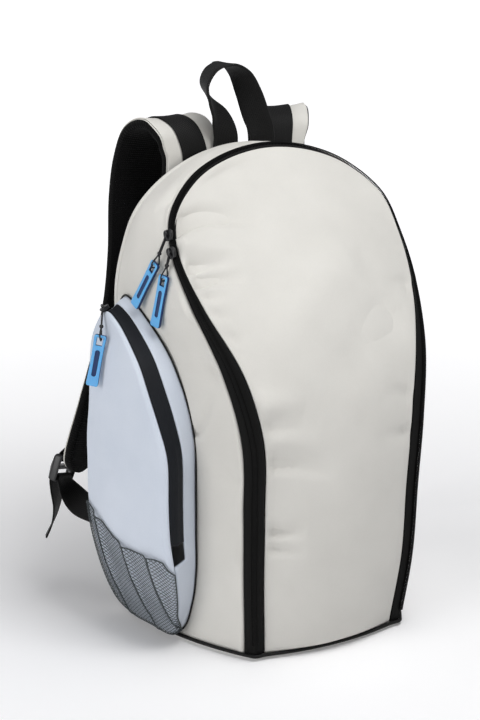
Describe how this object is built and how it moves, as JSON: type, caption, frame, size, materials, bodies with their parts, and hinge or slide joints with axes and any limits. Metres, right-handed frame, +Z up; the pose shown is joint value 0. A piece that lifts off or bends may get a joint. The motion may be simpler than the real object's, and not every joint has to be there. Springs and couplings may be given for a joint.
{
  "type": "cooler backpack",
  "caption": "insulated cooler backpack with a zipped domed front door, a side pocket with a net pouch, padded shoulder straps and a grab handle",
  "frame": {"origin": "on the underside of the base panel, on the bag's middle line, where the bag stands on the floor", "axes": "+Z up, the front door faces -Y, the straps are at +Y, and the pocket is on the -X side"},
  "size_m": [0.3586, 0.2755, 0.5037],
  "materials": {
    "beige_cloth": "woven polyester, matt",
    "blue_cloth": "woven polyester, matt",
    "grey_net": "knitted net",
    "black_webbing": "woven webbing",
    "black_mesh": "padded air mesh",
    "black_zip": "zip tape and coil",
    "blue_plastic": "moulded, soft sheen",
    "black_plastic": "moulded, soft sheen"
  },
  "bodies": {
    "root": {"side_panel": "beige_cloth", "front_door": "beige_cloth", "back_panel": "black_mesh", "base_panel": "beige_cloth", "base_piping": "black_webbing", "main_zip_tape": "black_zip", "main_zip_coil": "black_zip", "main_zip_pull_a": "blue_plastic", "main_zip_slider_a": "black_plastic", "main_zip_pull_b": "blue_plastic", "main_zip_slider_b": "black_plastic", "pocket_panel": "blue_cloth", "pocket_wall": "blue_cloth", "pocket_zip_tape": "black_zip", "pocket_net": "grey_net", "pocket_piping": "black_webbing", "pocket_pull": "blue_plastic", "pocket_slider": "black_plastic", "strap_pad_left": "black_mesh", "strap_pad_right": "black_mesh", "strap_face_left": "beige_cloth", "strap_face_right": "beige_cloth", "strap_webbing_left": "black_webbing", "strap_webbing_right": "black_webbing", "strap_buckle_left": "black_plastic", "strap_buckle_right": "black_plastic", "buckle_loop_left": "black_webbing", "buckle_loop_right": "black_webbing", "lower_webbing_left": "black_webbing", "lower_webbing_right": "black_webbing", "grab_handle": "black_webbing"}
  },
  "joints": []
}
